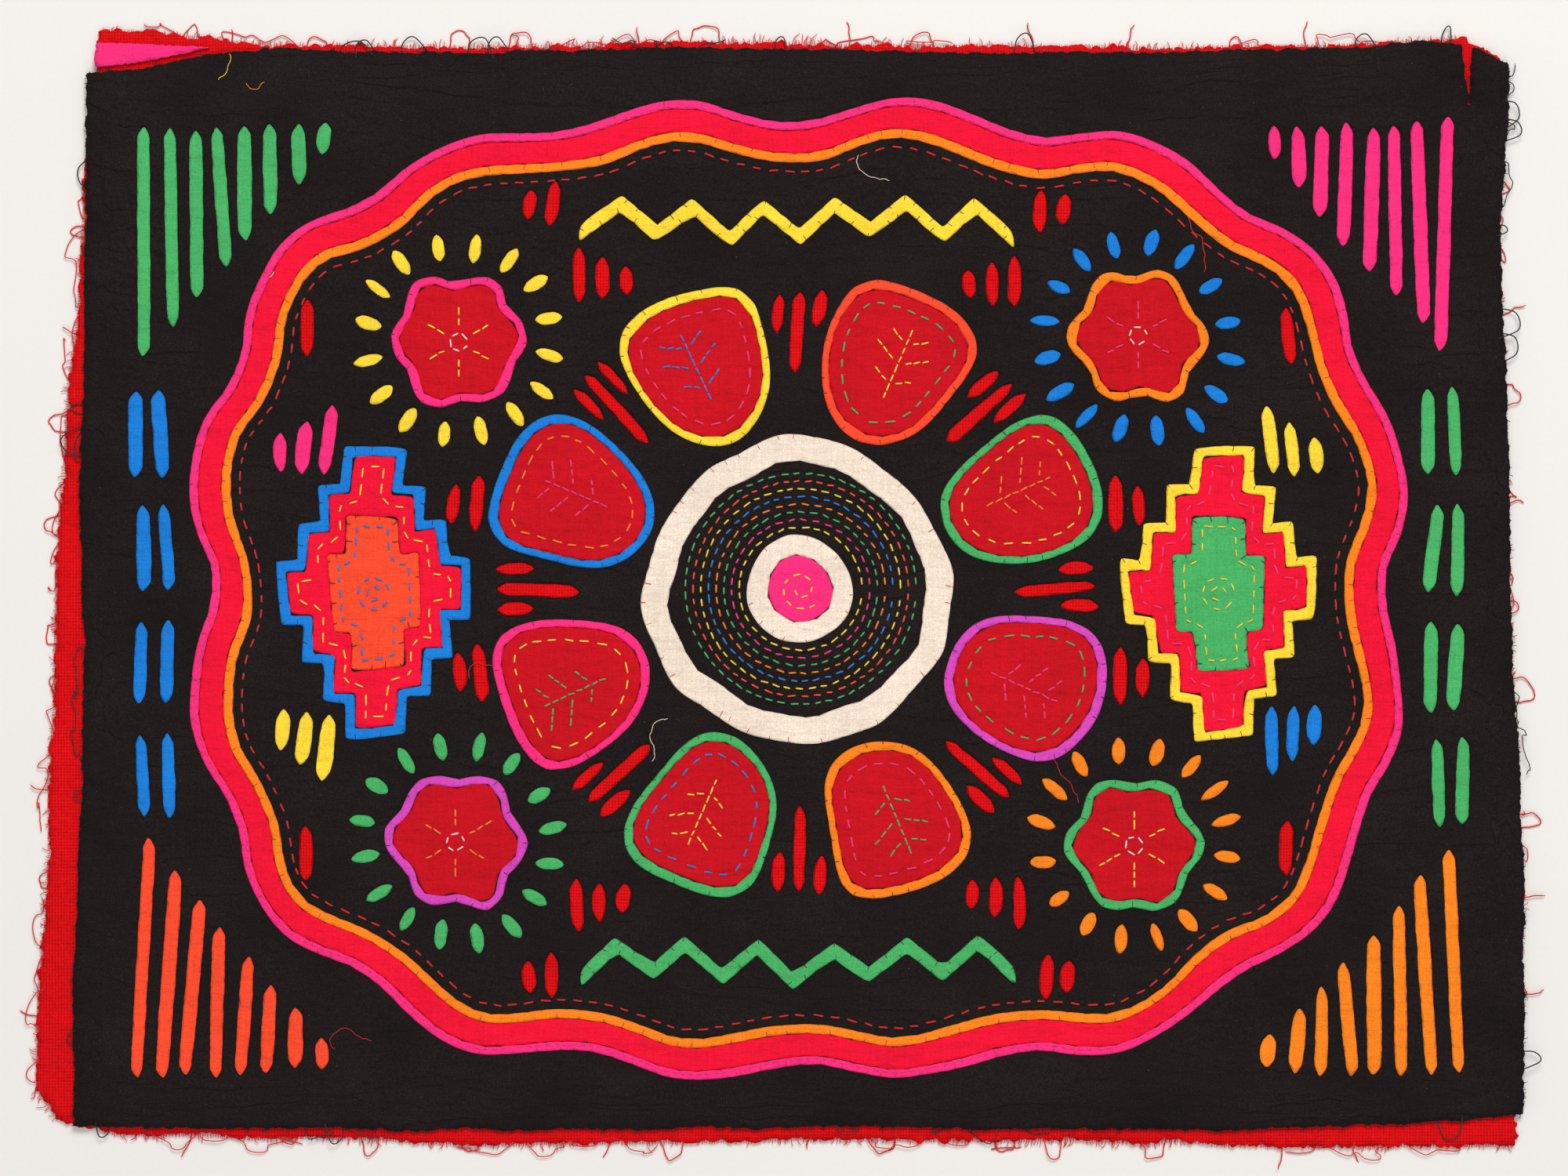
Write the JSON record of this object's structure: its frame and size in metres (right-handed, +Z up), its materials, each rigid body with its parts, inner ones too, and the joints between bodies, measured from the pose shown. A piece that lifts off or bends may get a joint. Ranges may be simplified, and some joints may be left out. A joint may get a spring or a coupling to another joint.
{
  "type": "layered applique textile panel",
  "caption": "Rectangular cotton textile panel lying flat: black ground cloth with coloured slits and edged applique in a flower medallion design, over a red base with frayed raw edges.",
  "frame": {"origin": "middle of the base cloth's underside, at the middle of the panel's bounding box", "axes": "+X along the long edge to the viewer's right, +Y to the panel's top edge, +Z up out of the sewn face"},
  "size_m": [0.4382, 0.331, 0.0049],
  "materials": {
    "cotton_black": "matt woven cotton",
    "cotton_blue": "matt woven cotton",
    "cotton_coral": "matt woven cotton",
    "cotton_cream": "matt woven cotton",
    "cotton_crimson": "matt woven cotton",
    "cotton_garnet": "matt woven cotton",
    "cotton_green": "matt woven cotton",
    "cotton_orange": "matt woven cotton",
    "cotton_pink": "matt woven cotton",
    "cotton_purple": "matt woven cotton",
    "cotton_red": "matt woven cotton",
    "cotton_yellow": "matt woven cotton"
  },
  "bodies": {
    "root": {"band_crimson": "cotton_crimson", "band_orange": "cotton_orange", "band_pink": "cotton_pink", "base_cloth": "cotton_red", "blossom_low_left_cloth": "cotton_garnet", "blossom_low_left_edging": "cotton_purple", "blossom_low_right_cloth": "cotton_garnet", "blossom_low_right_edging": "cotton_green", "blossom_top_left_cloth": "cotton_garnet", "blossom_top_left_edging": "cotton_pink", "blossom_top_right_cloth": "cotton_garnet", "blossom_top_right_edging": "cotton_orange", "collar_ring": "cotton_cream", "corner_scrap": "cotton_pink", "diamond_left_cloth": "cotton_crimson", "diamond_left_core": "cotton_coral", "diamond_left_edging": "cotton_blue", "diamond_right_cloth": "cotton_crimson", "diamond_right_core": "cotton_green", "diamond_right_edging": "cotton_yellow", "fray_bottom": "cotton_red", "fray_left": "cotton_red", "fray_right": "cotton_red", "fray_top": "cotton_red", "ground_cloth": "cotton_black", "heart_disc": "cotton_pink", "heart_ring": "cotton_cream", "patch_corner_low_left": "cotton_coral", "patch_corner_low_right": "cotton_orange", "patch_corner_top_left": "cotton_green", "patch_corner_top_right": "cotton_pink", "patch_inner_low_left": "cotton_yellow", "patch_inner_low_right": "cotton_blue", "patch_inner_top_left": "cotton_pink", "patch_inner_top_right": "cotton_yellow", "patch_low_left_rays": "cotton_green", "patch_low_right_rays": "cotton_orange", "patch_margin_left": "cotton_blue", "patch_margin_right": "cotton_green", "patch_top_left_rays": "cotton_yellow", "patch_top_right_rays": "cotton_blue", "petal_1_cloth": "cotton_garnet", "petal_1_edging": "cotton_green", "petal_2_cloth": "cotton_garnet", "petal_2_edging": "cotton_coral", "petal_3_cloth": "cotton_garnet", "petal_3_edging": "cotton_yellow", "petal_4_cloth": "cotton_garnet", "petal_4_edging": "cotton_blue", "petal_5_cloth": "cotton_garnet", "petal_5_edging": "cotton_pink", "petal_6_cloth": "cotton_garnet", "petal_6_edging": "cotton_green", "petal_7_cloth": "cotton_garnet", "petal_7_edging": "cotton_orange", "petal_8_cloth": "cotton_garnet", "petal_8_edging": "cotton_purple", "zigzag_bottom": "cotton_green", "zigzag_top": "cotton_yellow"}
  },
  "joints": []
}
